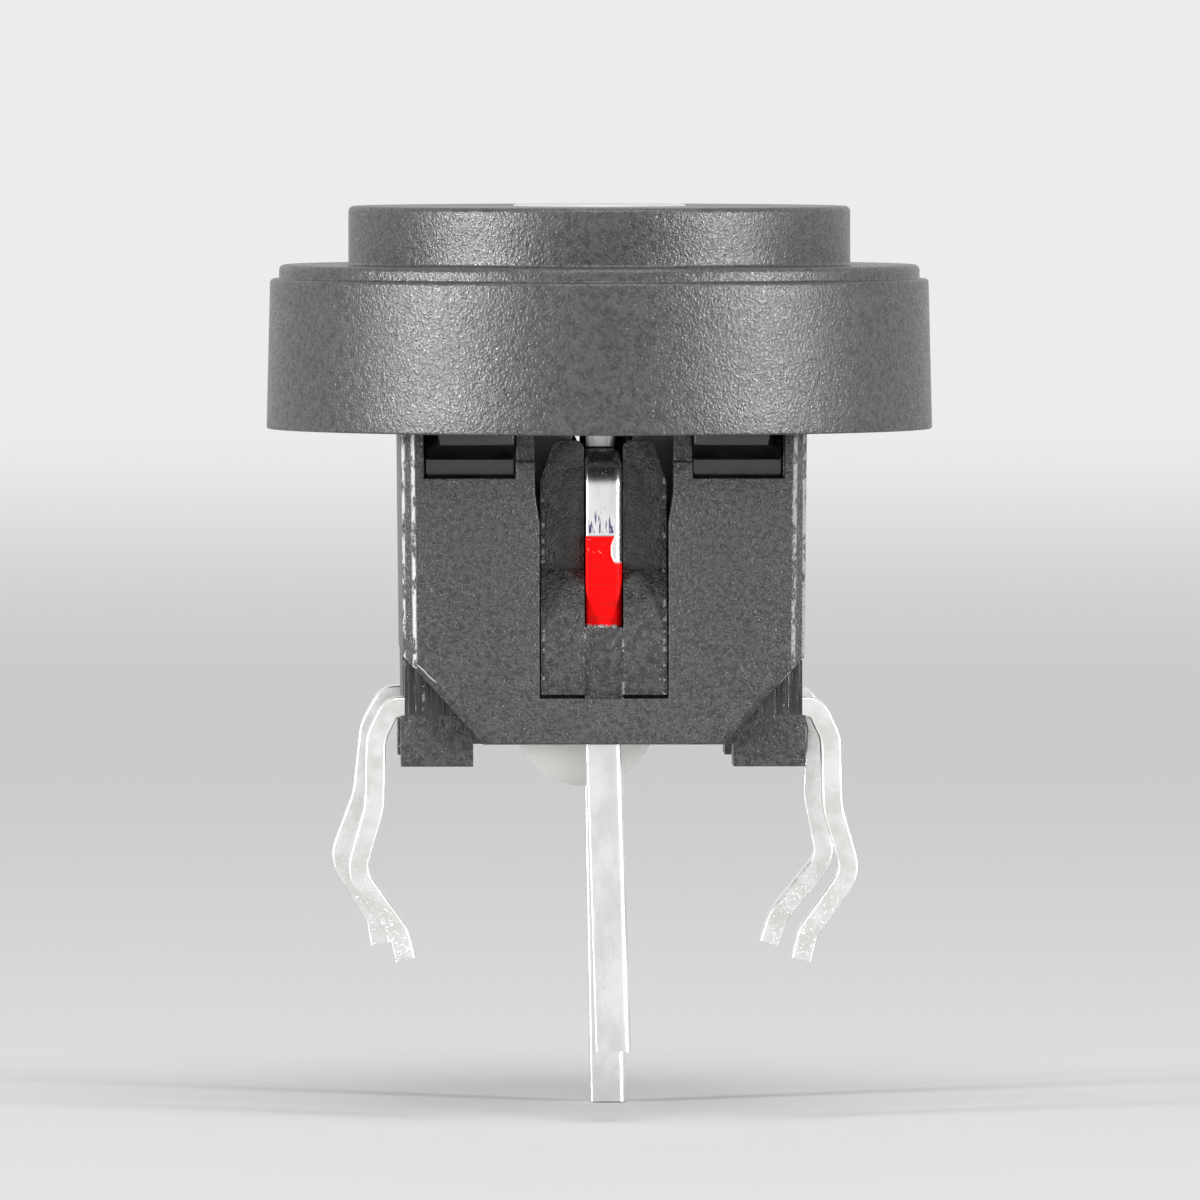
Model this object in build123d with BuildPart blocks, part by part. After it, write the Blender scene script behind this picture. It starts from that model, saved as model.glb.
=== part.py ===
from build123d import *
import os
from math import hypot, radians, tan

# Illuminated push button switch for a circuit board, in millimetres.
# The origin is the centre of the seating plane, under the feet. +Z is the press axis, out of the cap.
# The front is -Y, where the marked lead of the lamp stands. Front and rear are alike but for the leads.

os.makedirs("parts", exist_ok=True)

# ---- Driving sizes ----

travel = 0.25  # full stroke of the cap

# housing: a shell with four walls and a top, open underneath
body_width = 5.94  # at its lower edge
housing_bottom = 0.34
housing_top = 6.0
housing_draft = 0.6  # degrees on each side, wider towards the top
plate_wall = 0.38  # front and rear walls
side_wall = 0.30
top_wall = 0.40
body_chamfer = 0.17  # on the four upright edges
corner_cut_width = 1.17  # lower corners of the front and rear walls
corner_cut_height = 1.30
slot_half_width = 0.96
slot_flare = 0.07  # the slot is wider each side at the top
slot_bottom = 1.03
flare_bottom = 3.62
flare_top = 4.09
window_width = 1.38
window_height = 1.0
window_top_band = 0.70  # solid wall above the windows
window_side_gap = 0.05
rib_recess_depth = 0.15
rib_recess_height = 0.75

# base
shell_clearance = 0.03  # base inside the housing
floor_top = 1.50
dome_pocket_floor = 1.10
foot_width = 1.07
foot_depth = 0.96
foot_top = 0.76
foot_proud = 0.04  # outside the housing
corner_block_top = 1.58
corner_block_inset = 0.01  # inside the housing's sides
hook_gap = 0.055  # under the hook, above the slot's lower edge
hook_clearance = 0.02
hook_top = 2.93
hook_crest = 1.90
hook_setback = 0.04  # behind the housing's face
hook_ramp_depth = 0.31
bridge_top = 2.08
bridge_recess = 0.06
post_setback = 0.47
post_height = 0.41  # above the middle of the lead's run
post_shoulder_drop = 0.60  # the outer edges lean in above the shoulder
post_taper = 0.20
post_shoulder_round = 0.60
post_round = 0.12
web_thickness = 0.05  # behind the leads
cut_margin = 0.10  # cuts run this far past the material

# lamp leads
lead_size = 0.54
lead_setback = 0.45  # housing's face to the lead's middle
lead_clearance = 0.02
lead_bend = 0.30
lead_root = 0.45  # lead's middle inside the edge of the lamp
lead_tips = {"front": -4.24, "rear": -5.30}
lead_leans = {"front": 0.14, "rear": 0.19}  # how far each tip stands towards +X
lead_kinks = {"front": 0.02, "rear": 0.10}  # the same, close under the body
lead_lean_start = 0.20
lead_kink_height = -0.35

# switch terminals, stamped and bent strip
strip_thickness = 0.30
strip_cover = 0.065  # plastic between the strip and the dome pocket
leg_width = 0.60
leg_edge = 0.01  # from the base's edge
leg_inner_end = 0.80
strip_half_length = 1.50
strip_inner = 1.40
strip_overlap = 0.20  # of the middle strip and the legs' strips
rim_bump_x = 1.0
rim_bump_y = 1.60
rim_bump_radius = 0.20
tongue_half_width = 0.35
tongue_reach = 0.35
centre_bump_radius = 0.30
leg_offsets = (0.20, 0.42, 0.445, 0.72, 0.08, -0.02)  # outward from the body's side, down the leg
leg_drops = (0.465, 1.505, 2.465, 3.365, 3.765)  # below the strip, at each point after the first
leg_radii = (0.22, 0.60, 1.00, 0.45, 0.40)
leg_leans = {"front": 0, "rear": 0.086}  # towards -X, for each millimetre down

# snap dome
dome_radius = 1.94
dome_height = 0.32
dome_thickness = 0.08
dome_rim = 0.08
pocket_gap = 0.06

# plunger
plunger_lead_gap = 0.17  # lead to plunger, with the post's web between them
plunger_wall = 0.34
plunger_floor = 0.60
plunger_slot_half = 0.45
plunger_slot_depth = 0.35  # under the lead
plunger_hole_clearance = 0.08
collar_gap = 0.03
collar_wall_gap = 0.09
stem_radius = 0.80
stem_gap = 0.03
collar_post_gap = 0.10  # above the posts, at full travel

# cap: a disc on a wider flange with a skirt
cap_side_gap = 0.27  # skirt to the housing's corners
skirt_wall = 0.565
skirt_draft = 0.055
cap_overlap = 1.02  # skirt below the housing's top
cap_lift = 0.84  # roof above the housing's top
roof_thickness = 0.60
rim_step = 0.21
rim_inset = 0.135
disc_radius = 3.77
disc_wall = 0.55
disc_height = 0.88
disc_ceiling = 0.50
hub_wall = 0.44
hub_drop = 0.82
press_clearance = 0.01
cap_round = 0.07
gate_depth = 0.05
gate_width = 0.40
gate_height = 0.22
gate_drop = 0.33
cap_leg_width = 1.30
cap_leg_depth = 0.41
cap_leg_clearance = 0.03
barb_reach = 0.33
barb_gap = 0.03
barb_foot_gap = 0.03  # free height under the barb at full travel
barb_tip_height = 0.22
leg_tip_length = 0.50  # below the barb
leg_tip_taper = 0.12
leg_tip_taper_height = 0.25
leg_hole_gap = 0.05

# light window
window_neck_radius = 1.30
window_neck_gap = 0.02
window_flange = 0.32
window_flange_inset = 0.05  # inside the plunger's edge
window_proud = 0.03

# lamp
lamp_gap = 0.10  # to the plunger's bore, and to the light window at full travel
lamp_flange = 0.12
lamp_flange_height = 0.25
lamp_height = 2.20
lamp_run_drop = 0.51  # leads turn outwards this far under the lamp
anvil_rise = 0.55  # above the lamp's underside
anvil_half_width = 0.35
anvil_thickness = 0.40
anvil_overhang = 0.25
head_overlap = 0.10  # of the lead and its head
post_head_length = 0.60
chip_size = 0.30
chip_height = 0.15
wire_radius = 0.04
wire_rise = 0.35

# locating boss, off centre so that the switch goes in one way round
boss_x = -0.20
boss_y = 1.10
boss_sphere_radius = 1.10
boss_sphere_height = 0.65
boss_spigot_radius = 0.70
boss_spigot_depth = 0.30

# ---- Worked out from them ----

body_half = body_width / 2
plate_inner = body_half - plate_wall
side_inner = body_half - side_wall
top_half = body_half + (housing_top - housing_bottom) * tan(radians(housing_draft))
corner_radius = hypot(top_half, top_half - body_chamfer)
ceiling_height = housing_top - top_wall

base_half_x = side_inner - shell_clearance
base_half_y = plate_inner - shell_clearance
strip_top = dome_pocket_floor - strip_cover
strip_bottom = strip_top - strip_thickness
strip_middle = strip_top - strip_thickness / 2
foot_outer = body_half + foot_proud
foot_inner = foot_outer - foot_width
foot_back = base_half_y - foot_depth
block_outer = body_half - corner_block_inset
pocket_radius = dome_radius + pocket_gap

lead_y = body_half - lead_setback
channel_half = lead_size / 2 + lead_clearance
channel_back = lead_y - channel_half
channel_front = lead_y + channel_half
leg_y = base_half_y - leg_edge - leg_width / 2
strip_outer = leg_y - leg_width / 2 + strip_overlap

plunger_radius = lead_y - lead_size / 2 - plunger_lead_gap
plunger_bore = plunger_radius - plunger_wall
plunger_hole = plunger_radius + plunger_hole_clearance
collar_radius = plate_inner - collar_wall_gap

cap_roof = housing_top + cap_lift
flange_top = cap_roof + roof_thickness
rim_height = flange_top - rim_step
disc_top = flange_top + disc_height
cap_ceiling = disc_top - disc_ceiling
cap_bottom = housing_top - cap_overlap
skirt_inner = corner_radius + cap_side_gap
skirt_outer = skirt_inner + skirt_wall
shoulder_radius = skirt_outer - skirt_draft
rim_radius = shoulder_radius - rim_inset

plunger_rim = cap_ceiling - window_flange
lamp_top = plunger_rim - travel - lamp_gap
lamp_bottom = lamp_top - lamp_height
lead_run = lamp_bottom - lamp_run_drop
post_top = lead_run + post_height
collar_bottom = post_top + travel + collar_post_gap
slot_floor = lead_run - lead_size / 2 - plunger_slot_depth
dome_top = dome_pocket_floor + dome_height
centre_bump_top = dome_top - dome_thickness - (travel - stem_gap)

window_top = housing_top - window_top_band
window_bottom = window_top - window_height
cap_leg_outer = side_inner - cap_leg_clearance
cap_leg_inner = cap_leg_outer - cap_leg_width
cap_leg_face = plate_inner - cap_leg_clearance
window_outer = cap_leg_outer + window_side_gap
window_x = window_outer - window_width / 2
barb_bottom = window_bottom + travel + barb_foot_gap
barb_top = window_top - barb_gap
barb_front = plate_inner + barb_reach
leg_tip = barb_bottom - leg_tip_length

lamp_flange_radius = plunger_bore - lamp_gap
lamp_radius = lamp_flange_radius - lamp_flange
lamp_lead_y = lamp_radius - lead_root
anvil_bottom = lamp_bottom + anvil_rise
anvil_top = anvil_bottom + anvil_thickness
wire_end_y = -lamp_lead_y

front_plane = Plane.XZ
rear_plane = Plane(origin=(0, 0, 0), x_dir=(-1, 0, 0), z_dir=(0, 1, 0))
four_ways = ((-1, -1), (1, -1), (1, 1), (-1, 1))


def save(piece, name):
    piece.label = name
    export_step(piece, f"parts/{name}.step")


# ---- Switch terminals: each is one strip with a leg at both ends ----

terminals = {}
for name, side in (("front", -1), ("rear", 1)):
    lean = leg_leans[name]
    with BuildPart() as terminal:
        # the strip across the body, clear of the lamp's lead
        with BuildSketch(Plane.XY.offset(strip_bottom)):
            with Locations((0, side * (strip_inner + strip_outer) / 2)):
                Rectangle(2 * strip_half_length, strip_outer - strip_inner)
            if side < 0:
                with Locations((0, (tongue_reach - strip_inner) / 2)):
                    Rectangle(2 * tongue_half_width, tongue_reach + strip_inner)
        extrude(amount=strip_thickness)
        # the legs, bent to snap into the board
        for end in (-1, 1):
            leg_points = [(end * leg_inner_end, strip_middle)]
            for offset, drop in zip(leg_offsets, (0, *leg_drops)):
                leg_points.append((end * (body_half + offset) - lean * drop, strip_middle - drop))
            with BuildSketch(Plane.XZ.offset(-side * leg_y)):
                with BuildLine():
                    FilletPolyline(*leg_points, radius=leg_radii)
                trace(line_width=strip_thickness)
            extrude(amount=leg_width / 2, both=True)
        # bumps that carry the dome's rim, or meet its middle
        if side > 0:
            with BuildSketch(Plane.XY.offset(strip_top)):
                with Locations((-rim_bump_x, rim_bump_y), (rim_bump_x, rim_bump_y)):
                    Circle(rim_bump_radius)
            extrude(amount=dome_pocket_floor - strip_top)
        else:
            with BuildSketch(Plane.XY.offset(strip_top)):
                Circle(centre_bump_radius)
            extrude(amount=centre_bump_top - strip_top)
    terminals[name] = terminal.part
    save(terminal.part, f"terminal_{name}")

# ---- Locating boss: a domed nylon peg pressed into the underside of the base ----

boss_plane = Plane(origin=(boss_x, boss_y, 0), x_dir=(1, 0, 0), z_dir=(0, -1, 0))
boss_flat = (boss_sphere_radius**2 - (boss_sphere_height - housing_bottom) ** 2) ** 0.5
with BuildPart() as locating_boss:
    with BuildSketch(boss_plane):
        with BuildLine():
            Polyline(
                (0, boss_sphere_height - boss_sphere_radius),
                (0, housing_bottom + boss_spigot_depth),
                (boss_spigot_radius, housing_bottom + boss_spigot_depth),
                (boss_spigot_radius, housing_bottom),
                (boss_flat, housing_bottom),
            )
            RadiusArc(
                (boss_flat, housing_bottom),
                (0, boss_sphere_height - boss_sphere_radius),
                boss_sphere_radius,
            )
        make_face()
    revolve(axis=Axis((boss_x, boss_y, 0), (0, 0, 1)))
save(locating_boss.part, "locating_boss")

# ---- Base: floor, feet, snap hooks and posts in one moulding ----

with BuildPart() as base:
    with BuildSketch(Plane.XY.offset(housing_bottom)):
        Rectangle(2 * base_half_x, 2 * base_half_y)
    extrude(amount=floor_top - housing_bottom)
    # a foot under each corner, and above it a block that fills the housing's corner
    foot_y = (base_half_y + foot_back) / 2
    for outer, height in ((foot_outer, foot_top), (block_outer, corner_block_top)):
        block_x = (outer + foot_inner) / 2
        with BuildSketch(Plane.XY):
            with Locations(*[(x * block_x, y * foot_y) for x, y in four_ways]):
                Rectangle(outer - foot_inner, foot_depth)
        extrude(amount=height)
    # the hooks fill the lower end of the housing's slots and slope back at the top
    hook_bottom = slot_bottom + hook_gap
    hook_front = body_half - hook_setback
    hook_half = slot_half_width - hook_clearance
    post_inner = channel_back - web_thickness
    post_outer = body_half - post_setback
    with BuildSketch(Plane.YZ):
        with BuildLine():
            Polyline(
                (hook_front, hook_crest),
                (hook_front, hook_bottom),
                (post_inner, hook_bottom),
                (post_inner, hook_top),
                (hook_front - hook_ramp_depth, hook_top),
            )
            TangentArc(
                (hook_front, hook_crest),
                (hook_front - hook_ramp_depth, hook_top),
                tangent=(0, 1),
            )
        make_face()
        mirror(about=Plane.YZ)
    extrude(amount=hook_half, both=True)
    # posts with rounded tops stand on both sides of each lead
    for plane in (front_plane, rear_plane):
        for side in (-1, 1):
            with BuildSketch(plane.offset(post_inner)):
                with BuildLine():
                    FilletPolyline(
                        (side * channel_half, hook_bottom),
                        (side * channel_half, post_top),
                        (side * (hook_half - post_taper), post_top),
                        (side * hook_half, post_top - post_shoulder_drop),
                        (side * hook_half, hook_bottom),
                        radius=(post_round, post_round, post_shoulder_round),
                    )
                    Line((side * hook_half, hook_bottom), (side * channel_half, hook_bottom))
                make_face()
            extrude(amount=post_outer - post_inner)
    # channels for the leads: closed by a bridge at the bottom, open in front above it
    with BuildSketch(Plane.XY.offset(housing_bottom)):
        with Locations((0, -lead_y), (0, lead_y)):
            Rectangle(2 * channel_half, 2 * channel_half)
    extrude(amount=hook_top - housing_bottom + cut_margin, mode=Mode.SUBTRACT)
    for plane in (front_plane, rear_plane):
        with BuildSketch(plane.offset(channel_front)):
            with Locations((0, (bridge_top + hook_top + cut_margin) / 2)):
                Rectangle(2 * channel_half, hook_top + cut_margin - bridge_top)
        extrude(amount=body_half - channel_front, mode=Mode.SUBTRACT)
        with BuildSketch(plane.offset(hook_front - bridge_recess)):
            with Locations((0, (bridge_top + hook_bottom) / 2)):
                Rectangle(2 * channel_half, bridge_top - hook_bottom)
        extrude(amount=2 * bridge_recess, mode=Mode.SUBTRACT)
    with BuildSketch(Plane.XY.offset(dome_pocket_floor)):
        Circle(pocket_radius)
    extrude(amount=floor_top - dome_pocket_floor, mode=Mode.SUBTRACT)
    # the terminals are moulded in, and the boss is pressed in
    add(terminals["front"], mode=Mode.SUBTRACT)
    add(terminals["rear"], mode=Mode.SUBTRACT)
    add(locating_boss.part, mode=Mode.SUBTRACT)
save(base.part, "base")

# ---- Housing ----

with BuildPart() as housing:
    with BuildSketch(Plane.XY.offset(housing_bottom)) as outline:
        Rectangle(body_width, body_width)
        chamfer(outline.vertices(), length=body_chamfer)
    extrude(amount=housing_top - housing_bottom, taper=-housing_draft)
    with BuildSketch(Plane.XY.offset(housing_bottom)):
        Rectangle(2 * side_inner, 2 * plate_inner)
    extrude(amount=ceiling_height - housing_bottom, mode=Mode.SUBTRACT)
    # the side walls make room for the base's corner blocks
    room_back = foot_back - shell_clearance
    with BuildSketch(Plane.XY.offset(housing_bottom)):
        with Locations((0, (plate_inner + room_back) / 2), (0, -(plate_inner + room_back) / 2)):
            Rectangle(2 * body_width, plate_inner - room_back)
    extrude(amount=corner_block_top + shell_clearance - housing_bottom, mode=Mode.SUBTRACT)
    # the lower corners of the front and rear walls are cut off
    cut_reach = body_half + cut_margin
    cut_top = housing_bottom + corner_cut_height * (1 + cut_margin / corner_cut_width)
    for plane in (front_plane, rear_plane):
        with BuildSketch(plane.offset(plate_inner)):
            with BuildLine():
                Polyline(
                    (body_half - corner_cut_width, housing_bottom),
                    (cut_reach, housing_bottom),
                    (cut_reach, cut_top),
                    close=True,
                )
            make_face()
            mirror(about=Plane.YZ)
        extrude(amount=2 * plate_wall, mode=Mode.SUBTRACT)
    # slots for the hooks and leads
    with BuildSketch(Plane.XZ):
        with BuildLine():
            Polyline(
                (0, slot_bottom),
                (slot_half_width, slot_bottom),
                (slot_half_width, flare_bottom),
                (slot_half_width + slot_flare, flare_top),
                (slot_half_width + slot_flare, window_top),
                (0, window_top),
                close=True,
            )
        make_face()
        mirror(about=Plane.YZ)
    extrude(amount=body_width, both=True, mode=Mode.SUBTRACT)
    # windows for the cap's legs
    window_z = (window_top + window_bottom) / 2
    for plane in (front_plane, rear_plane):
        with BuildSketch(plane.offset(plate_inner)):
            with Locations((-window_x, window_z), (window_x, window_z)):
                Rectangle(window_width, window_height)
        extrude(amount=2 * plate_wall, mode=Mode.SUBTRACT)
    # the ribs between slot and windows are set back at their upper ends
    rib_inner = slot_half_width + slot_flare
    rib_outer = window_outer - window_width
    for plane in (front_plane, rear_plane):
        with BuildSketch(plane.offset(body_half - rib_recess_depth)):
            with Locations(
                (-(rib_inner + rib_outer) / 2, window_top - rib_recess_height / 2),
                ((rib_inner + rib_outer) / 2, window_top - rib_recess_height / 2),
            ):
                Rectangle(rib_outer - rib_inner, rib_recess_height)
        extrude(amount=top_half - body_half + 2 * rib_recess_depth, mode=Mode.SUBTRACT)
    # grooves that clear the leads under the slots
    with BuildSketch(Plane.XY.offset(housing_bottom)):
        Rectangle(2 * channel_half, 2 * channel_front)
    extrude(amount=slot_bottom - housing_bottom, mode=Mode.SUBTRACT)
    # the top lets the plunger and the cap's legs through
    with BuildSketch(Plane.XY.offset(ceiling_height)):
        Circle(plunger_hole)
        hole_back = cap_leg_face - cap_leg_depth - leg_hole_gap
        hole_inner = cap_leg_inner - leg_hole_gap
        hole_x = (side_inner + hole_inner) / 2
        hole_y = (plate_inner + hole_back) / 2
        with Locations(*[(x * hole_x, y * hole_y) for x, y in four_ways]):
            Rectangle(side_inner - hole_inner, plate_inner - hole_back)
    extrude(amount=top_wall, mode=Mode.SUBTRACT)
save(housing.part, "housing")

# ---- Snap dome ----

with BuildPart() as contact_dome:
    with BuildSketch(Plane.XZ):
        with BuildLine():
            under_top = dome_top - dome_thickness
            Line((0, under_top), (0, dome_top))
            TangentArc((0, dome_top), (dome_radius, dome_pocket_floor), tangent=(1, 0))
            Line((dome_radius, dome_pocket_floor), (dome_radius - dome_rim, dome_pocket_floor))
            TangentArc(
                (0, under_top), (dome_radius - dome_rim, dome_pocket_floor), tangent=(1, 0)
            )
        make_face()
    revolve(axis=Axis.Z)
save(contact_dome.part, "contact_dome")

# ---- Plunger: stem, slotted cup round the lamp, and a collar under the housing's top ----

with BuildPart() as plunger:
    with BuildSketch(Plane.XZ):
        with BuildLine():
            Polyline(
                (0, dome_top + stem_gap),
                (stem_radius, dome_top + stem_gap),
                (stem_radius, slot_floor - plunger_floor),
                (plunger_radius, slot_floor - plunger_floor),
                (plunger_radius, collar_bottom),
                (collar_radius, collar_bottom),
                (collar_radius, ceiling_height - collar_gap),
                (plunger_radius, ceiling_height - collar_gap),
                (plunger_radius, plunger_rim),
                (plunger_bore, plunger_rim),
                (plunger_bore, slot_floor),
                (0, slot_floor),
                close=True,
            )
        make_face()
    revolve(axis=Axis.Z)
    with BuildSketch(Plane.XY.offset(slot_floor)):
        Rectangle(2 * plunger_slot_half, 2 * body_width)
    extrude(amount=plunger_rim - slot_floor, mode=Mode.SUBTRACT)
save(plunger.part, "plunger")

# ---- Light window: a flanged disc held between the cap and the plunger ----

with BuildPart() as light_window:
    with BuildSketch(Plane.XZ):
        with BuildLine():
            Polyline(
                (0, plunger_rim),
                (plunger_radius - window_flange_inset, plunger_rim),
                (plunger_radius - window_flange_inset, cap_ceiling),
                (window_neck_radius, cap_ceiling),
                (window_neck_radius, disc_top + window_proud),
                (0, disc_top + window_proud),
                close=True,
            )
        make_face()
    revolve(axis=Axis.Z)
save(light_window.part, "light_window")

# ---- Cap ----

with BuildPart() as button_cap:
    with BuildSketch(Plane.XZ) as profile:
        with BuildLine():
            Polyline(
                (skirt_inner, cap_bottom),
                (skirt_outer, cap_bottom),
                (shoulder_radius, rim_height),
                (rim_radius, rim_height),
                (rim_radius, flange_top),
                (disc_radius, flange_top),
                (disc_radius, disc_top),
                (window_neck_radius + window_neck_gap, disc_top),
                (window_neck_radius + window_neck_gap, cap_ceiling),
                (plunger_radius + press_clearance, cap_ceiling),
                (plunger_radius + press_clearance, cap_ceiling - hub_drop),
                (plunger_radius + press_clearance + hub_wall, cap_ceiling - hub_drop),
                (plunger_radius + press_clearance + hub_wall, cap_ceiling),
                (disc_radius - disc_wall, cap_ceiling),
                (disc_radius - disc_wall, cap_roof),
                (skirt_inner, cap_roof),
                close=True,
            )
        make_face()
        # the corners that a finger meets are rounded
        rounded = [
            corner
            for corner in profile.vertices()
            if (corner.X, corner.Y) in ((disc_radius, disc_top), (rim_radius, flange_top))
        ]
        fillet(rounded, radius=cap_round)
    revolve(axis=Axis.Z)
    # four barbed legs that snap into the housing's windows
    with BuildSketch(Plane.YZ):
        with BuildLine():
            Polyline(
                (cap_leg_face - cap_leg_depth, cap_roof),
                (cap_leg_face - cap_leg_depth, leg_tip),
                (cap_leg_face - leg_tip_taper, leg_tip),
                (cap_leg_face, leg_tip + leg_tip_taper_height),
                (cap_leg_face, barb_bottom),
                (barb_front, barb_bottom + barb_tip_height),
                (barb_front, barb_top),
                (cap_leg_face, barb_top),
                (cap_leg_face, cap_roof),
                close=True,
            )
        make_face()
        mirror(about=Plane.YZ)
    extrude(amount=cap_leg_outer, both=True)
    with BuildSketch(Plane.XY.offset(leg_tip)):
        Rectangle(2 * cap_leg_inner, 2 * barb_front)
    extrude(amount=cap_roof - leg_tip, mode=Mode.SUBTRACT)
    # the moulding gate's notch in the side of the disc
    with BuildSketch(Plane.XY.offset(disc_top - gate_drop)):
        with Locations((disc_radius, 0)):
            Rectangle(2 * gate_depth, gate_width)
    extrude(amount=-gate_height, mode=Mode.SUBTRACT)
save(button_cap.part, "button_cap")

# ---- Lamp ----

leads = {}
for name, side in (("front", -1), ("rear", 1)):
    with BuildPart() as lead:
        # down from the lamp, out over the floor of the plunger's slot and down the channel
        with BuildSketch(Plane.YZ):
            with BuildLine():
                FilletPolyline(
                    (side * lamp_lead_y, anvil_bottom + head_overlap),
                    (side * lamp_lead_y, lead_run),
                    (side * lead_y, lead_run),
                    (side * lead_y, lead_lean_start),
                    radius=lead_bend,
                )
            trace(line_width=lead_size)
        extrude(amount=lead_size / 2, both=True)
        # the free end leans a little
        for height, lean in (
            (lead_lean_start, 0),
            (lead_kink_height, lead_kinks[name]),
            (lead_tips[name], lead_leans[name]),
        ):
            with BuildSketch(Plane.XY.offset(height)):
                with Locations((lean, side * lead_y)):
                    Rectangle(lead_size, lead_size)
        loft(ruled=True)
        # heads inside the lamp: an anvil under the chip at the rear, a post in front
        with BuildSketch(Plane.XY.offset(anvil_bottom)):
            if side > 0:
                head_back = -anvil_overhang
                head_front = lamp_lead_y + lead_size / 2
            else:
                head_back = -lamp_lead_y - lead_size / 2
                head_front = -lamp_lead_y - lead_size / 2 + post_head_length
            with Locations((0, (head_back + head_front) / 2)):
                Rectangle(2 * anvil_half_width, head_front - head_back)
        extrude(amount=anvil_thickness)
    leads[name] = lead.part
    save(lead.part, f"led_lead_{name}")

with BuildPart() as led_chip:
    with BuildSketch(Plane.XY.offset(anvil_top)):
        Rectangle(chip_size, chip_size)
    extrude(amount=chip_height)
save(led_chip.part, "led_chip")

# the wire arches from the chip's top to the front lead's head
with BuildPart() as led_bond_wire:
    with BuildLine() as wire_path:
        ThreePointArc(
            (0, 0, anvil_top + chip_height),
            (0, wire_end_y / 2, anvil_top + chip_height + wire_rise),
            (0, wire_end_y, anvil_top),
        )
    with BuildSketch(Plane(origin=wire_path.line @ 0, z_dir=wire_path.line % 0)):
        Circle(wire_radius)
    sweep()
save(led_bond_wire.part, "led_bond_wire")

with BuildPart() as led_lens:
    with BuildSketch(Plane.XZ):
        with BuildLine():
            Polyline(
                (0, lamp_top),
                (0, lamp_bottom),
                (lamp_flange_radius, lamp_bottom),
                (lamp_flange_radius, lamp_bottom + lamp_flange_height),
                (lamp_radius, lamp_bottom + lamp_flange_height),
                (lamp_radius, lamp_top - lamp_radius),
            )
            RadiusArc((lamp_radius, lamp_top - lamp_radius), (0, lamp_top), -lamp_radius)
        make_face()
    revolve(axis=Axis.Z)
    add(leads["front"], mode=Mode.SUBTRACT)
    add(leads["rear"], mode=Mode.SUBTRACT)
    add(led_chip.part, mode=Mode.SUBTRACT)
    add(led_bond_wire.part, mode=Mode.SUBTRACT)
save(led_lens.part, "led_lens")
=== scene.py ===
import bmesh
import bpy
import numpy as np
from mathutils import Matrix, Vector


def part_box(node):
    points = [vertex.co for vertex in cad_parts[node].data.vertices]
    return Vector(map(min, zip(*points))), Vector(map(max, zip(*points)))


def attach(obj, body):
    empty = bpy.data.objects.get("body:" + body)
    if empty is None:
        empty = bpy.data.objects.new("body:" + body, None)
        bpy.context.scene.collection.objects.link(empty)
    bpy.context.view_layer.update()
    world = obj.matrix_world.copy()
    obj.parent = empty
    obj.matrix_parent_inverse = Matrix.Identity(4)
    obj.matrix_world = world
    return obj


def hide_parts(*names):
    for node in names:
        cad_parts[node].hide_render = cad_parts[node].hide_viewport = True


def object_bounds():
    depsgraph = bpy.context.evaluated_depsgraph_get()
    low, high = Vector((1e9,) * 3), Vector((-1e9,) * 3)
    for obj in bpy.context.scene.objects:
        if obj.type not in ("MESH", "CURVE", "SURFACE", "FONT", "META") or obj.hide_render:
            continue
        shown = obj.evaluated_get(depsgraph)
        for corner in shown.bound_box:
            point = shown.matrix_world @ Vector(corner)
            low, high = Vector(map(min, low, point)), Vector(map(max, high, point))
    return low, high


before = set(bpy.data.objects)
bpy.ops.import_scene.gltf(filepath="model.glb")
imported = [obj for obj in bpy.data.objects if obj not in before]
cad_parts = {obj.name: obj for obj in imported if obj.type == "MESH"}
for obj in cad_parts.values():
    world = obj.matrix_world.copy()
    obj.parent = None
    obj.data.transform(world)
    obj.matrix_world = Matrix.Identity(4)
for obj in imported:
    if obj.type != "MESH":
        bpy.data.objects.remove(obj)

# The looks of an illuminated push button switch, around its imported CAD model.
# Sizes are in metres. The front is -Y, and the cap is pressed along -Z.

mm = 0.001
cadLow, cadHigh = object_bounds()
boxes = {name: [np.array(corner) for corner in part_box(name)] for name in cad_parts}
print("frame read:", len(boxes), "nodes")


def unit(v):
    # v divided by its own length, along the last axis
    return v / np.maximum(np.linalg.norm(v, axis=-1, keepdims=True), 1e-15)


def roundedLine(corners, radii, steps=7):
    # each inner corner becomes an arc: centre + start * cos(a) + radius * heading * sin(a), a from 0 to the turn
    corners = np.asarray(corners, float)
    runs = [corners[:1]]
    for before, corner, after, radius in zip(corners[:-2], corners[1:-1], corners[2:], radii):
        heading, leaving = unit(corner - before), unit(after - corner)
        turn = np.arccos(np.clip(heading @ leaving, -1, 1))
        if radius == 0 or turn < 1e-4:
            runs.append(corner[None])
            continue
        centre = corner + unit(leaving - heading) * radius / np.cos(turn / 2)
        start = corner - heading * radius * np.tan(turn / 2) - centre
        a = np.linspace(0, turn, steps)[:, None]
        runs.append(centre + start * np.cos(a) + heading * radius * np.sin(a))
    runs.append(corners[-1:])
    return np.concatenate(runs)


def evenly(line, step):
    # the same line with points no further apart than step: each run is cut into equal lengths
    gaps = np.linalg.norm(np.diff(line, axis=0), axis=1)
    counts = np.maximum(1, np.ceil(gaps / step).astype(int))
    index = np.repeat(np.arange(len(gaps)), counts)
    within = np.concatenate([np.arange(n) / n for n in counts])[:, None]
    return np.concatenate([line[index] * (1 - within) + line[index + 1] * within, line[-1:]])


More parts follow.
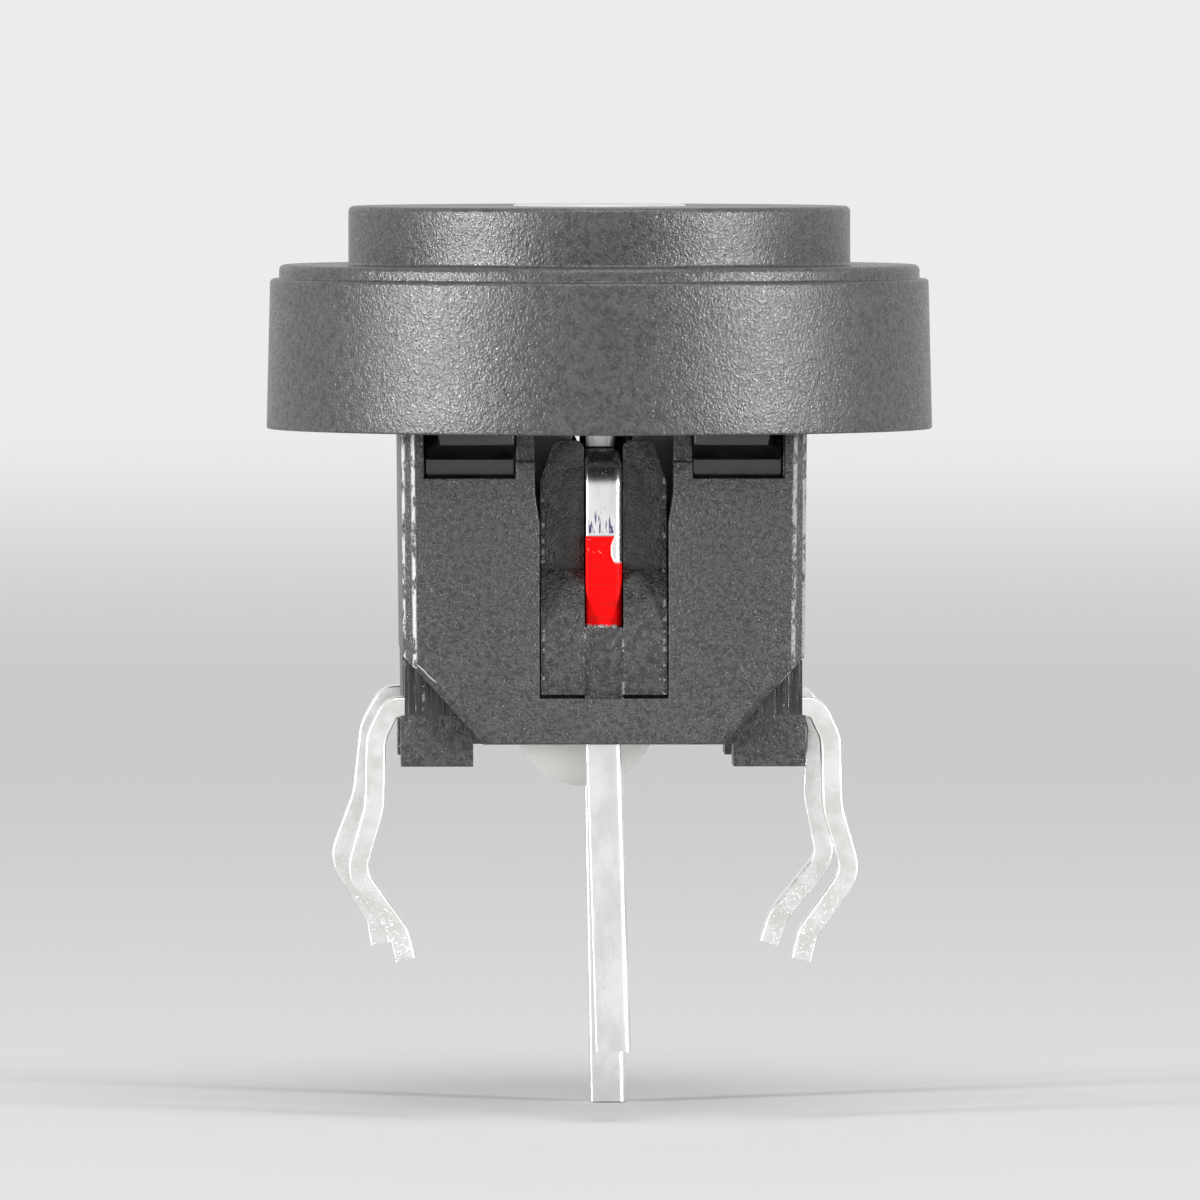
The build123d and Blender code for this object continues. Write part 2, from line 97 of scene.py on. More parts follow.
def roundedBar(width, height, radii, steps=5):
    # outline of a bar's section: a quarter circle at each corner, centre (sx, sy) + radius * (cos a, sin a)
    a = np.linspace(0, np.pi / 2, steps)
    a = np.concatenate([a + k * np.pi / 2 for k in range(4)])
    radius = np.repeat(np.broadcast_to(radii, 4), steps)
    sx = np.repeat([1, -1, -1, 1], steps) * (width / 2 - radius)
    sy = np.repeat([1, 1, -1, -1], steps) * (height / 2 - radius)
    return np.stack([sx + radius * np.cos(a), sy + radius * np.sin(a)], axis=1)


def gridFaces(rows, columns, closed):
    # four corners for each cell of a grid of points, the columns joined end to end if closed
    i, j = np.meshgrid(np.arange(rows - 1), np.arange(columns - (not closed)), indexing="ij")
    k = (j + 1) % columns
    corners = [i * columns + j, i * columns + k, (i + 1) * columns + k, (i + 1) * columns + j]
    return np.stack(corners, -1).reshape(-1, 4)


class Shell:
    # gathers points and faces of several closed surfaces that make one piece
    def __init__(self):
        self.points, self.faces, self.count = [], [], 0

    def add(self, points, faces):
        self.points.append(points)
        self.faces += [[k + self.count for k in face] for face in faces]
        self.count += len(points)
        return self

    def lathe(self, profile, turns=160, x=0, y=0):
        # (r, z) along the profile becomes (r cos u, r sin u, z) for u round the axis
        u = np.linspace(0, 2 * np.pi, turns, endpoint=False)
        r, z = profile[:, :1], profile[:, 1:]
        points = np.stack([x + r * np.cos(u), y + r * np.sin(u), z + 0 * u], -1).reshape(-1, 3)
        return self.add(points, gridFaces(len(profile), turns, True).tolist())

    def sweep(self, path, section, side):
        # each point of the section stands at path + a * side + b * (heading x side)
        heading = unit(np.gradient(path, axis=0))
        side = np.broadcast_to(side, path.shape)
        up = unit(np.cross(heading, side))
        a, b = section[None, :, :1], section[None, :, 1:]
        points = (path[:, None] + a * side[:, None] + b * up[:, None]).reshape(-1, 3)
        n, m = len(path), len(section)
        ends = [list(range(m)), list(range((n - 1) * m, n * m))]
        return self.add(points, gridFaces(n, m, True).tolist() + ends)

    def block(self, low, high, radius, steps=3):
        # a box with rounded edges: points of a gridded cube are drawn in to the inner box, then out by the radius
        low, high = np.asarray(low, float), np.asarray(high, float)
        rise = np.tan(np.linspace(0, 1, steps + 1) * np.pi / 4)
        t = np.concatenate([-rise[::-1], rise])
        inward = np.concatenate([np.full(steps + 1, -1.0), np.full(steps + 1, 1.0)])
        a, b = np.meshgrid(t, t, indexing="ij")
        ia, ib = np.meshgrid(inward, inward, indexing="ij")
        middle, half = (low + high) / 2, (high - low) / 2 - radius
        for axis in range(3):
            for way in (-1, 1):
                bulge, inner = np.zeros((*a.shape, 3)), np.zeros((*a.shape, 3))
                bulge[..., axis], inner[..., axis] = way, way
                # near an edge the bulge leans from one face's way out to the other's
                bulge[..., (axis + 1) % 3], bulge[..., (axis + 2) % 3] = a * (ia * a > 0), b * (ib * b > 0)
                inner[..., (axis + 1) % 3], inner[..., (axis + 2) % 3] = ia, ib
                points = middle + inner * half + unit(bulge) * radius
                self.add(points.reshape(-1, 3), gridFaces(len(t), len(t), False).tolist())
        return self


def piece(name, shell, body, material, replaces=(), creaseAngle=32):
    # one closed mesh from a shell: doubles merged, faces outward, smooth but for its creases
    mesh = bpy.data.meshes.new(name)
    mesh.from_pydata(np.concatenate(shell.points), [], shell.faces)
    bm = bmesh.new()
    bm.from_mesh(mesh)
    bmesh.ops.remove_doubles(bm, verts=bm.verts, dist=2e-7)
    bmesh.ops.recalc_face_normals(bm, faces=bm.faces)
    bm.to_mesh(mesh)
    bm.free()
    mesh.shade_smooth()
    mesh.set_sharp_from_angle(angle=np.radians(creaseAngle))
    return settle(name, mesh, body, material, replaces)


def settle(name, mesh, body, material, replaces):
    # puts a mesh in the scene, riding its body in place of the CAD nodes named
    obj = bpy.data.objects.new(name, mesh)
    bpy.context.collection.objects.link(obj)
    mesh.materials.clear()
    mesh.materials.append(material)
    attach(obj, body)
    if replaces:
        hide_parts(*replaces)
    return obj


# angles in degrees, distances in metres
rounding = {
    "merge": 5e-7, "flat": 1, "sharp": 38, "segments": 3, "crease": 30, "mergeAfter": 1e-6, "thin": 1e-7,
    "holeSides": 8,
}


def closeUp(mesh):
    # merges points left apart where rounded edges meet, and drops faces that have no area
    bm = bmesh.new()
    bm.from_mesh(mesh)
    bmesh.ops.remove_doubles(bm, verts=bm.verts, dist=rounding["mergeAfter"])
    bmesh.ops.dissolve_degenerate(bm, edges=bm.edges, dist=rounding["thin"])
    bmesh.ops.holes_fill(bm, edges=[e for e in bm.edges if e.is_boundary], sides=rounding["holeSides"])
    bm.to_mesh(mesh)
    bm.free()


def softened(node, name, body, material, edge, widerEdges=None):
    # a copy of a CAD piece with its flat faces whole again and its sharp edges rounded to a moulding's
    # widerEdges(middles) says how many times the edge radius the edge at each middle gets
    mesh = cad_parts[node].data.copy()
    bm = bmesh.new()
    bm.from_mesh(mesh)
    bmesh.ops.remove_doubles(bm, verts=bm.verts, dist=rounding["merge"])
    bmesh.ops.dissolve_limit(bm, angle_limit=np.radians(rounding["flat"]), verts=bm.verts, edges=bm.edges)
    sharp = np.array([e.calc_face_angle(0.0) > np.radians(rounding["sharp"]) for e in bm.edges])
    middles = np.array([(e.verts[0].co + e.verts[1].co) / 2 for e in bm.edges])
    bm.to_mesh(mesh)
    bm.free()
    times = widerEdges(middles / mm) if widerEdges else np.ones(len(middles))
    weights = mesh.attributes.new("bevel_weight_edge", "FLOAT", "EDGE")
    weights.data.foreach_set("value", (sharp * times / times.max()).astype(np.float32))
    obj = bpy.data.objects.new(name + "_raw", mesh)
    bpy.context.collection.objects.link(obj)
    bevel = obj.modifiers.new("edges", "BEVEL")
    bevel.width, bevel.segments, bevel.limit_method = edge * times.max(), rounding["segments"], "WEIGHT"
    bevel.use_clamp_overlap = widerEdges is None
    finished = bpy.data.meshes.new_from_object(obj.evaluated_get(bpy.context.evaluated_depsgraph_get()))
    bpy.data.objects.remove(obj)
    if widerEdges:
        closeUp(finished)
    finished.shade_smooth()
    finished.set_sharp_from_angle(angle=np.radians(rounding["crease"]))
    return settle(name, finished, body, material, [node])


class Wire:
    # a shader socket that adds Math nodes when it meets + - * ** < or >
    def __init__(self, tree, socket):
        self.tree, self.socket = tree, socket

    def maths(self, operation, *values):
        return self.tree.node("ShaderNodeMath", {"operation": operation}, dict(enumerate(values)))

    def output(self, name):
        # another output of the node that this one comes from
        return Wire(self.tree, self.socket.node.outputs[name])

    def __add__(self, other):
        return self.maths("ADD", self, other)

    def __radd__(self, other):
        return self.maths("ADD", other, self)

    def __sub__(self, other):
        return self.maths("SUBTRACT", self, other)

    def __rsub__(self, other):
        return self.maths("SUBTRACT", other, self)

    def __mul__(self, other):
        return self.maths("MULTIPLY", self, other)

    def __rmul__(self, other):
        return self.maths("MULTIPLY", other, self)

    def __pow__(self, other):
        return self.maths("POWER", self, other)

    def __gt__(self, other):
        return self.maths("GREATER_THAN", self, other)

    def __lt__(self, other):
        return self.maths("LESS_THAN", self, other)

    def size(self):
        return self.maths("ABSOLUTE", self)

    def orMore(self, other):
        return self.maths("MAXIMUM", self, other)


class Tree:
    # the nodes of a material or of the world, all added by one method
    def __init__(self, owner):
        owner.use_nodes = True
        self.nodes, self.links = owner.node_tree.nodes, owner.node_tree.links

    def node(self, kind, settings, values, output=0):
        made = self.nodes.new(kind)
        for key, value in settings.items():
            setattr(made, key, value)
        self.connect(made, values)
        return Wire(self, made.outputs[output])

    def connect(self, node, values):
        for key, value in values.items():
            if isinstance(value, Wire):
                self.links.new(value.socket, node.inputs[key])
            else:
                node.inputs[key].default_value = value

    def ramp(self, value, low, high, start=0.0, end=1.0):
        # start below low, end above high, and a smooth step between them
        ends = {"Value": value, "From Min": low, "From Max": high, "To Min": start, "To Max": end}
        return self.node("ShaderNodeMapRange", {"interpolation_type": "SMOOTHSTEP"}, ends)

    def blend(self, factor, first, second):
        # first colour where the factor is 0, second where it is 1
        return self.node("ShaderNodeMix", {"data_type": "RGBA"}, {0: factor, 6: first, 7: second}, 2)


class Finish(Tree):
    # a material: its shader, with the values that are the same all over, and object coordinates in millimetres
    def __init__(self, name, **constants):
        self.material = bpy.data.materials.new(name)
        super().__init__(self.material)
        self.shader = self.nodes["Principled BSDF"]
        self.connect(self.shader, {socket.replace("_", " "): value for socket, value in constants.items()})
        coordinates = self.node("ShaderNodeTexCoord", {}, {}, "Object")
        self.place = self.node("ShaderNodeVectorMath", {"operation": "SCALE"}, {0: coordinates, "Scale": 1 / mm})
        self.x = self.node("ShaderNodeSeparateXYZ", {}, {0: self.place})
        self.y, self.z = self.x.output("Y"), self.x.output("Z")

    def noise(self, scale, detail=2.0, roughness=0.5, stretch=(1, 1, 1)):
        # cloudy values from 0 to 1; scale is in waves a millimetre
        spread = self.node("ShaderNodeMapping", {}, {"Vector": self.place, "Scale": stretch})
        values = {"Vector": spread, "Scale": scale, "Detail": detail, "Roughness": roughness}
        return self.node("ShaderNodeTexNoise", {}, values)

    def line(self, distance, width):
        # 1 along a thin line where the distance is 0, falling to 0 at its width
        return self.ramp(distance.size(), width * 0.4, width, 1.0, 0.0)

    def relief(self, height, depth):
        # height from 0 to 1 raises the surface by depth, in millimetres
        normal = self.node("ShaderNodeBump", {}, {"Height": height * (depth * mm), "Distance": 1.0, "Strength": 1.0})
        self.connect(self.shader, {"Normal": normal})

    def feed(self, **sockets):
        self.connect(self.shader, {name.replace("_", " "): value for name, value in sockets.items()})
        return self.material


def grey(level):
    return (level, level, level, 1.0)


# the pits colour is the grain's dark tone, partly painted shade in its hollows; the hidden colour is painted shade on
# the cap's hidden inside
capFinish = {
    "pits": 0.008, "face": 0.060, "coarse": 9.0, "fine": 26.0, "grainDepth": 0.024, "roughness": 0.36,
    "shine": 0.14,
    "hiddenShade": 0.012, "hiddenRoughness": 0.22, "hiddenBelow": 7.0, "wall": 0.45, "specular": 0.9,
}


def capPlastic():
    # black moulding with a coarse spark-eroded grain outside, its hollows painted darker as shade, and smooth where it
    # is hidden, painted much darker there as the shade inside the cap
    f = capFinish
    t = Finish("blackCap", Specular_IOR_Level=f["specular"])
    radius = (t.x * t.x + t.y * t.y) ** 0.5
    smoothShadedInside = (radius < boxes["button_cap"][1][0] / mm - f["wall"]) * (t.z < f["hiddenBelow"])
    coarse = t.noise(f["coarse"], 2.0, 0.6)
    fine = t.noise(f["fine"], 2.0, 0.6)
    grain = coarse * 0.45 + fine * 0.55
    t.relief(grain * (1 - smoothShadedInside * 0.9), f["grainDepth"])
    # the grain's low parts take the dark pit colour: grain tone and painted shade in the hollows
    colour = t.blend(t.ramp(grain, 0.36, 0.60), grey(f["pits"]), grey(f["face"]))
    # painted shade: the hidden inside, seen through the windows, is coloured much darker than the outside
    colour = t.blend(smoothShadedInside, colour, grey(f["hiddenShade"]))
    worn = f["roughness"] + (t.noise(0.6) - 0.5) * 0.16 - t.ramp(fine, 0.5, 0.62) * f["shine"]
    return t.feed(Base_Color=colour, Roughness=worn * (1 - smoothShadedInside) + smoothShadedInside * f["hiddenRoughness"])


housingFinish = {
    "pits": 0.014, "face": 0.062, "coarse": 12.0, "fine": 28.0, "grainDepth": 0.034, "roughness": 0.38,
    "shine": 0.16, "highlightDepth": 0.08,
    "half": 2.97, "draft": 0.0105, "from": 0.34, "chamfer": 0.17, "lineWidth": 0.044, "line": 0.62,
    "cornerHighlights": [(-2.64, 1.40, 0.30), (2.76, 1.40, 0.34)],
}


def housingPlastic():
    # black moulding, finely grained, with pale ragged lines along the corners where its mould parted, partly burr and
    # partly painted highlight on the rounded edges
    f = housingFinish
    t = Finish("blackHousing", Specular_IOR_Level=0.7)
    coarse, fine = t.noise(f["coarse"], 2.0, 0.6), t.noise(f["fine"], 2.0, 0.6)
    grain = coarse * 0.4 + fine * 0.6
    corner = f["half"] - f["chamfer"] + (t.z - f["from"]) * f["draft"]
    ragged = t.noise(7.0, 4.0, 0.75, (1.0, 1.0, 0.5))
    wander = (ragged - 0.5) * 0.03
    lines = t.line(t.x.size() - corner + wander, f["lineWidth"])
    lines = lines.orMore(t.line(t.y.size() - corner + wander, f["lineWidth"]))
    outside = t.ramp(t.x.size() + t.y.size() - 2 * corner, 0.08, 0.12)
    # the pale lines are painted dimmer on the right: painted shade away from the stronger left lamp
    burrsAndHighlights = lines * outside * t.ramp(ragged, 0.40, 0.50) * (1.0 - (t.x > 0.0) * 0.45)
    for x, z, reach in f["cornerHighlights"]:
        # a painted highlight along the rounded corner cut, at 45 degrees
        side = 1 if x > 0 else -1
        across, along = (t.x - x) * side - (t.z - z), (t.x - x) * side + (t.z - z)
        cornerGlint = t.line(across + (t.noise(6.0) - 0.5) * 0.08, 0.022) * t.ramp(along.size(), reach * 0.8, reach, 1.0, 0.0)
        burrsAndHighlights = burrsAndHighlights.orMore(cornerGlint * (t.y.size() > f["half"] - f["highlightDepth"]) * 0.8)
    t.relief(grain + burrsAndHighlights * 0.9, f["grainDepth"])
    # the grain's low parts take the dark pit colour: grain tone and painted shade in the hollows
    colour = t.blend(t.ramp(grain, 0.40, 0.58), grey(f["pits"]), grey(f["face"]))
    # pale colour for the burrs and for the painted highlights
    colour = t.blend(burrsAndHighlights, colour, grey(f["line"]))
    rough = f["roughness"] + (t.noise(0.8) - 0.5) * 0.15 - t.ramp(fine, 0.5, 0.62) * f["shine"]
    return t.feed(Base_Color=colour, Roughness=rough)


baseFinish = {
    "pits": 0.008, "face": 0.060, "shadedStreak": 0.030, "coarse": 9.0, "fine": 26.0, "grainDepth": 0.040, "footTop": 0.76,
    "roughness": 0.38, "dashes": 0.30,
}


def basePlastic():
    # black moulding, coarse on the feet and the hooks, with drag marks up the blocks above the feet, where the blocks
    # are painted darker as the shade under the plates' overhang
    f = baseFinish
    t = Finish("blackBase", Specular_IOR_Level=0.7)
    coarse, fine = t.noise(f["coarse"], 2.0, 0.62), t.noise(f["fine"], 2.0, 0.6)
    grain = coarse * 0.5 + fine * 0.5
    streaks = t.noise(13.0, 3.0, 0.65, (1.0, 1.0, 0.05))
    block = t.ramp(t.z, f["footTop"] - 0.02, f["footTop"] + 0.04) * (t.x.size() > 1.7)
    t.relief(grain * (1 - block) + streaks * block * 0.6, f["grainDepth"])
    # the grain's low parts take the dark pit colour: grain tone and painted shade in the hollows
    colour = t.blend(t.ramp(grain, 0.38, 0.62), grey(f["pits"]), grey(f["face"]))
    # painted shade: above the feet the blocks are coloured darker, the shade under the plates' overhang, streaked with
    # drag marks
    colour = t.blend(block, colour, t.blend(t.ramp(streaks, 0.4, 0.7), grey(f["pits"]), grey(f["shadedStreak"])))
    # a broken pale line up each post's and each block's outer edge, and along each bridge's sides
    dashes = t.ramp(t.noise(9.0, 3.0, 0.7, (0.3, 0.3, 1.0)), 0.54, 0.60)
    edges = t.line(t.x.size() - 0.90, 0.030).orMore(t.line(t.x.size() - 2.68, 0.024)) * (t.z > f["footTop"])
    edges = edges.orMore(t.line(t.x.size() - 0.285, 0.022) * (t.z < 2.1) * (t.y.size() > 2.8))
    colour = t.blend(edges * dashes, colour, grey(f["dashes"]))
    return t.feed(Base_Color=colour, Roughness=f["roughness"] + (coarse - 0.5) * 0.2 - t.ramp(fine, 0.5, 0.62) * 0.15)


leadFinish = {
    "tin": 0.94, "dull": 0.80, "pit": 0.22, "roughness": 0.20, "paint": (0.90, 0.0, 0.0, 1), "paintLow": 2.10,
    "paintHigh": 3.44, "paintRoughness": 0.55, "stain": (0.10, 0.08, 0.22, 1), "paintGlint": (0.95, 0.30, 0.30, 1),
    "paintThin": (0.66, 0.004, 0.004, 1),
}


def tinnedLead(painted):
    # bright tin with faint drawn lines and pits; the front lead wears a band of red paint
    f = leadFinish
    t = Finish("paintedLead" if painted else "tinnedLead", Specular_IOR_Level=0.12)
    drawn = t.noise(22.0, 3.0, 0.6, (1.0, 1.0, 0.03))
    cloud = t.noise(2.2, 3.0, 0.6, (1.0, 1.0, 0.5))
    pits = t.ramp(t.noise(24.0, 2.0, 0.6), 0.68, 0.74)
    tin = t.blend(t.ramp(cloud, 0.38, 0.66), grey(f["dull"]), grey(f["tin"]))
    tin = t.blend(pits, tin, grey(f["pit"]))
    rough = f["roughness"] + cloud * 0.14 + pits * 0.3
    metal = 1 - pits * 0.2
    height = drawn * 0.5 + cloud * 0.3 - pits
    if painted:
        ragged = (t.noise(9.0, 3.0, 0.6, (1, 1, 0.4)) - 0.5) * 0.22
        below = t.ramp(t.z + ragged, f["paintLow"] - 0.02, f["paintLow"] + 0.03)
        above = t.ramp(t.z, f["paintHigh"] - 0.01, f["paintHigh"] + 0.01, 1.0, 0.0)
        # a notch without paint at the band's upper right, with a curved side
        notchSide = t.x - (t.z - 3.24) * (t.z - 3.24) * 1.1 + (t.noise(5.0) - 0.5) * 0.05
        paint = above * below * (1 - t.ramp(notchSide, 0.10, 0.13) * t.ramp(t.z, 3.02, 3.07))
        stains = t.ramp(t.noise(11.0, 3.0, 0.7, (1.8, 1, 0.22)), 0.52, 0.60) * t.ramp(t.z, 3.46, 3.5)
        tin = t.blend(stains * t.ramp(t.z, 3.70, 3.86, 1.0, 0.0), tin, f["stain"])
        # painted highlights: pink glints on the paint, only on its left side, towards the left lamp
        specksAndGlints = t.ramp(t.noise(16.0, 3.0, 0.7), 0.62, 0.70) * t.ramp(t.z, 2.9, 3.4) * (t.x < 0.0)
        brushed = t.ramp(t.noise(7.0, 3.0, 0.6, (0.3, 1, 3.0)), 0.46, 0.66)
        tin = t.blend(paint, tin, t.blend(specksAndGlints, t.blend(brushed, f["paint"], f["paintThin"]), f["paintGlint"]))
        rough = rough * (1 - paint) + paint * f["paintRoughness"]
        metal = metal * (1 - paint)
        height = height * (1 - paint) + paint * (t.noise(3.0, 2.0, 0.5, (1, 1, 5)) * 0.6 + 2.2)
    t.relief(height, 0.006)
    return t.feed(Base_Color=tin, Roughness=rough, Metallic=metal)


def tinnedStrip():
    # stamped strip: tin over brass, rougher on the sheared sides and speckled towards its tips
    t = Finish("tinnedStrip", Metallic=1.0)
    cloud = t.noise(2.6, 3.0, 0.6)
    shear = t.noise(15.0, 3.0, 0.65, (0.4, 1.0, 0.4))
    specksAndGlints = t.ramp(t.noise(19.0, 3.0, 0.6), 0.58, 0.68) * t.ramp(t.z, -2.9, -1.4, 1.0, 0.25)
    t.relief(shear * 0.6 + cloud * 0.4 - specksAndGlints * 0.5, 0.009)
    tin = t.blend(t.ramp(cloud, 0.35, 0.65), (0.80, 0.79, 0.77, 1), (0.94, 0.94, 0.93, 1))
    tin = t.blend(specksAndGlints * 0.5, tin, grey(0.42))
    return t.feed(Base_Color=tin, Roughness=0.22 + shear * 0.18)


def milkyPlastic(name, colour, roughness, depth):
    # translucent natural plastic with a soft, slightly cloudy face
    t = Finish(name, Subsurface_Weight=0.6, Subsurface_Radius=(1.0, 0.95, 0.85), Subsurface_Scale=depth * mm)
    cloud = t.noise(1.2, 3.0, 0.6)
    t.relief(t.noise(11.0, 3.0, 0.6), 0.006)
    base = t.blend(cloud, (*(level * 0.86 for level in colour), 1), (*colour, 1))
    return t.feed(Base_Color=base, Roughness=roughness + (cloud - 0.5) * 0.1)


def springSteel():
    # rolled strip, drawn lines along X
    t = Finish("springSteel", Metallic=1.0)
    rolled = t.noise(18.0, 3.0, 0.6, (1, 0.05, 1))
    t.relief(rolled, 0.003)
    return t.feed(Base_Color=t.blend(rolled, grey(0.55), grey(0.68)), Roughness=0.2 + rolled * 0.12)


def clearEpoxy():
    # cast lens, almost clear
    t = Finish("clearEpoxy", IOR=1.52, Transmission_Weight=0.92)
    cloud = t.noise(1.5, 2.0)
    colour = t.blend(cloud, (0.93, 0.90, 0.88, 1), (0.97, 0.95, 0.94, 1))
    return t.feed(Base_Color=colour, Roughness=0.04 + cloud * 0.05)


def ledDie():
    # sawn crystal, dark red
    t = Finish("ledDie", Specular_IOR_Level=0.6)
    grain = t.noise(30.0)
    t.relief(grain, 0.002)
    colour = t.blend(grain, (0.30, 0.08, 0.06, 1), (0.45, 0.14, 0.10, 1))
    return t.feed(Base_Color=colour, Roughness=0.3 + grain * 0.1)


def goldWire():
    # fine drawn gold
    t = Finish("goldWire", Metallic=1.0)
    grain = t.noise(25.0)
    colour = t.blend(grain, (0.85, 0.58, 0.20, 1), (0.95, 0.68, 0.28, 1))
    return t.feed(Base_Color=colour, Roughness=0.16 + grain * 0.1)


cap = {
    "bottom": 4.98, "flangeDrop": 0.88, "rimDrop": 1.09, "disc": 3.77, "rimInset": 0.19, "shoulderInset": 0.055,
    "skirtWall": 0.565, "roof": 0.60, "discWall": 0.55, "ceiling": 0.50, "hub": (2.09, 2.53, 0.82), "hole": 1.32,
    "rounds": [0.03, 0.085, 0.05, 0.085, 0.03, 0.06, 0.03, 0.03, 0.15, 0.15, 0.15, 0.05, 0.05, 0.05, 0.05],
    "turns": 360, "step": 0.35,
    "leg": {
        "inner": 1.34, "outer": 2.64, "back": 2.15, "face": 2.56, "barb": 2.92, "barbLow": 4.58, "barbHigh": 5.27,
        "tip": 4.08, "taper": (0.12, 0.25), "barbRise": 0.22, "cornerCut": (0.07, 0.23), "edge": 0.03,
        "rounds": [0.04, 0.04, 0.15, 0.05, 0.07, 0.03, 0.02], "intoRoof": 0.1, "slant": 0.75,
    },
    "gate": {"angle": 0.053, "depth": 0.05, "low": 7.77, "high": 7.99},
}


def makeCap(material):
    # lathed from the CAD piece's own radii and heights, with four barbed legs inside
    outer, top = boxes["button_cap"][1][0] / mm, boxes["button_cap"][1][2] / mm
    bottom, disc, hole = cap["bottom"], cap["disc"], cap["hole"]
    flange, rim, ceiling = top - cap["flangeDrop"], top - cap["rimDrop"], top - cap["ceiling"]
    skirt, roof = outer - cap["skirtWall"], flange - cap["roof"]
    hubInner, hubOuter, hubDrop = cap["hub"]
    corners = [
        (hole, ceiling), (hole, top), (disc, top), (disc, flange), (outer - cap["rimInset"], flange),
        (outer - cap["rimInset"], rim), (outer - cap["shoulderInset"], rim), (outer, bottom), (skirt, bottom),
        (skirt, roof), (disc - cap["discWall"], roof), (disc - cap["discWall"], ceiling), (hubOuter, ceiling),
        (hubOuter, ceiling - hubDrop), (hubInner, ceiling - hubDrop), (hubInner, ceiling), (hole, ceiling),
    ]
    profile = evenly(roundedLine(corners, cap["rounds"]), cap["step"]) * mm
    shell = Shell().lathe(profile, cap["turns"])
    points, gate = shell.points[0], cap["gate"]
    # the moulding gate's mark: points of the disc's side in one small patch step inward
    across = np.abs(np.arctan2(points[:, 1], points[:, 0])) < gate["angle"]
    inPatch = across & (points[:, 2] > gate["low"] * mm) & (points[:, 2] < gate["high"] * mm)
    onSide = np.hypot(points[:, 0], points[:, 1]) > (disc - 0.01) * mm
    points[inPatch & onSide, :2] *= 1 - gate["depth"] / disc
    for sx in (-1, 1):
        for sy in (-1, 1):
            addCapLeg(shell, sx, sy, roof + cap["leg"]["intoRoof"])
    return piece("button_cap_finished", shell, "button", material, ["button_cap"], 40)


def addCapLeg(shell, sx, sy, top):
    # a leg's outline in Y and Z carried along X; the barb's outer corner is cut off, more so at its foot
    leg = cap["leg"]
    back, face, barbY, tip, low = (leg[name] for name in ("back", "face", "barb", "tip", "barbLow"))
    taperIn, taperUp = leg["taper"]
    corners = [
        (back, top), (back, tip), (face - taperIn, tip), (face, tip + taperUp), (face, low),
        (barbY, low + leg["barbRise"]), (barbY, leg["barbHigh"]), (face, leg["barbHigh"]), (face, top),
    ]
    outline = roundedLine(corners, leg["rounds"], 5)
    y, z = outline.T
    drawnIn = outline + unit(outline.mean(axis=0) - outline) * leg["edge"]
    onBarb = np.clip((y - face) / (barbY - face), 0, 1)
    foot = np.clip((leg["barbHigh"] - z) / (leg["barbHigh"] - low), 0, 1)
    cutHigh, cutLow = leg["cornerCut"]
    cut = leg["edge"] + onBarb * (cutHigh + foot * (cutLow - cutHigh))
    outerEnd = np.column_stack([drawnIn[:, 0] - leg["slant"] * onBarb * (drawnIn[:, 0] - face), drawnIn[:, 1]])
    rings = [
        (np.full(len(y), leg["inner"]), drawnIn), (np.full(len(y), leg["inner"] + leg["edge"]), outline),
        (leg["outer"] - cut, outline), (np.full(len(y), leg["outer"]), outerEnd),
    ]
    points = np.concatenate([np.column_stack([sx * x, sy * ring[:, 0], ring[:, 1]]) for x, ring in rings]) * mm
    m = len(outline)
    shell.add(points, gridFaces(4, m, True).tolist() + [list(range(m)), list(range(3 * m, 4 * m))])


makeCap(capPlastic())
print("cap made")


housing = {
    "edge": 0.020, "plateEdgeTimes": 4.5, "plateFace": 2.9, "cutTop": 1.75, "cutOuter": 2.75, "slotHalf": 1.05,
    "slotLow": 0.6,
}


def plateEdges(middles):
    # the lower edges of the front and rear plates, corner cuts included, are rounded more than the rest
    x, y, z = np.abs(middles[:, 0]), np.abs(middles[:, 1]), middles[:, 2]
    onPlate = (y > housing["plateFace"]) & (z < housing["cutTop"]) & (x < housing["cutOuter"])
    slot = (x < housing["slotHalf"]) & (z > housing["slotLow"])
    return np.where(onPlate & ~slot, housing["plateEdgeTimes"], 1.0)


softened(
    "housing", "housing_finished", "switch_body", housingPlastic(), housing["edge"] * mm,
    plateEdges,
)
baseMaterial = basePlastic()
softened("base", "base_finished", "switch_body", baseMaterial, 0.018 * mm)

# a thin lip on the base closes the gap under each bridge, in front of the lead
lips = {"half": 0.288, "low": 0.98, "high": 1.10, "inner": 2.80, "outer": 2.862, "edge": 0.01}


def makeLips(material):
    shell = Shell()
    for side in (-1, 1):
        ys = sorted((side * lips["inner"], side * lips["outer"]))
        low, high = (-lips["half"], ys[0], lips["low"]), (lips["half"], ys[1], lips["high"])
        shell.block(np.array(low) * mm, np.array(high) * mm, lips["edge"] * mm)
    return piece("base_lips", shell, "switch_body", material, ["base"])


makeLips(baseMaterial)
print("housing and base made")


terminal = {
    "thickness": 0.30, "width": 0.60, "edge": 0.035, "middle": 0.885, "legY": 2.25, "stripY": 1.775,
    "bodyHalf": 2.97, "jog": (1.35, 0.95), "jogBend": 0.3, "step": 0.12, "flatHalf": 2.0,
    "tongue": {"from": -1.9, "to": 0.35, "width": 0.70, "edge": 0.03},
    "offsets": (0.20, 0.42, 0.445, 0.72, 0.08, -0.02), "drops": (0, 0.465, 1.505, 2.465, 3.365, 3.765),
    "bends": [0.22, 0.60, 1.00, 0.45, 0.40], "lean": {"front": 0.0, "rear": 0.086},
}


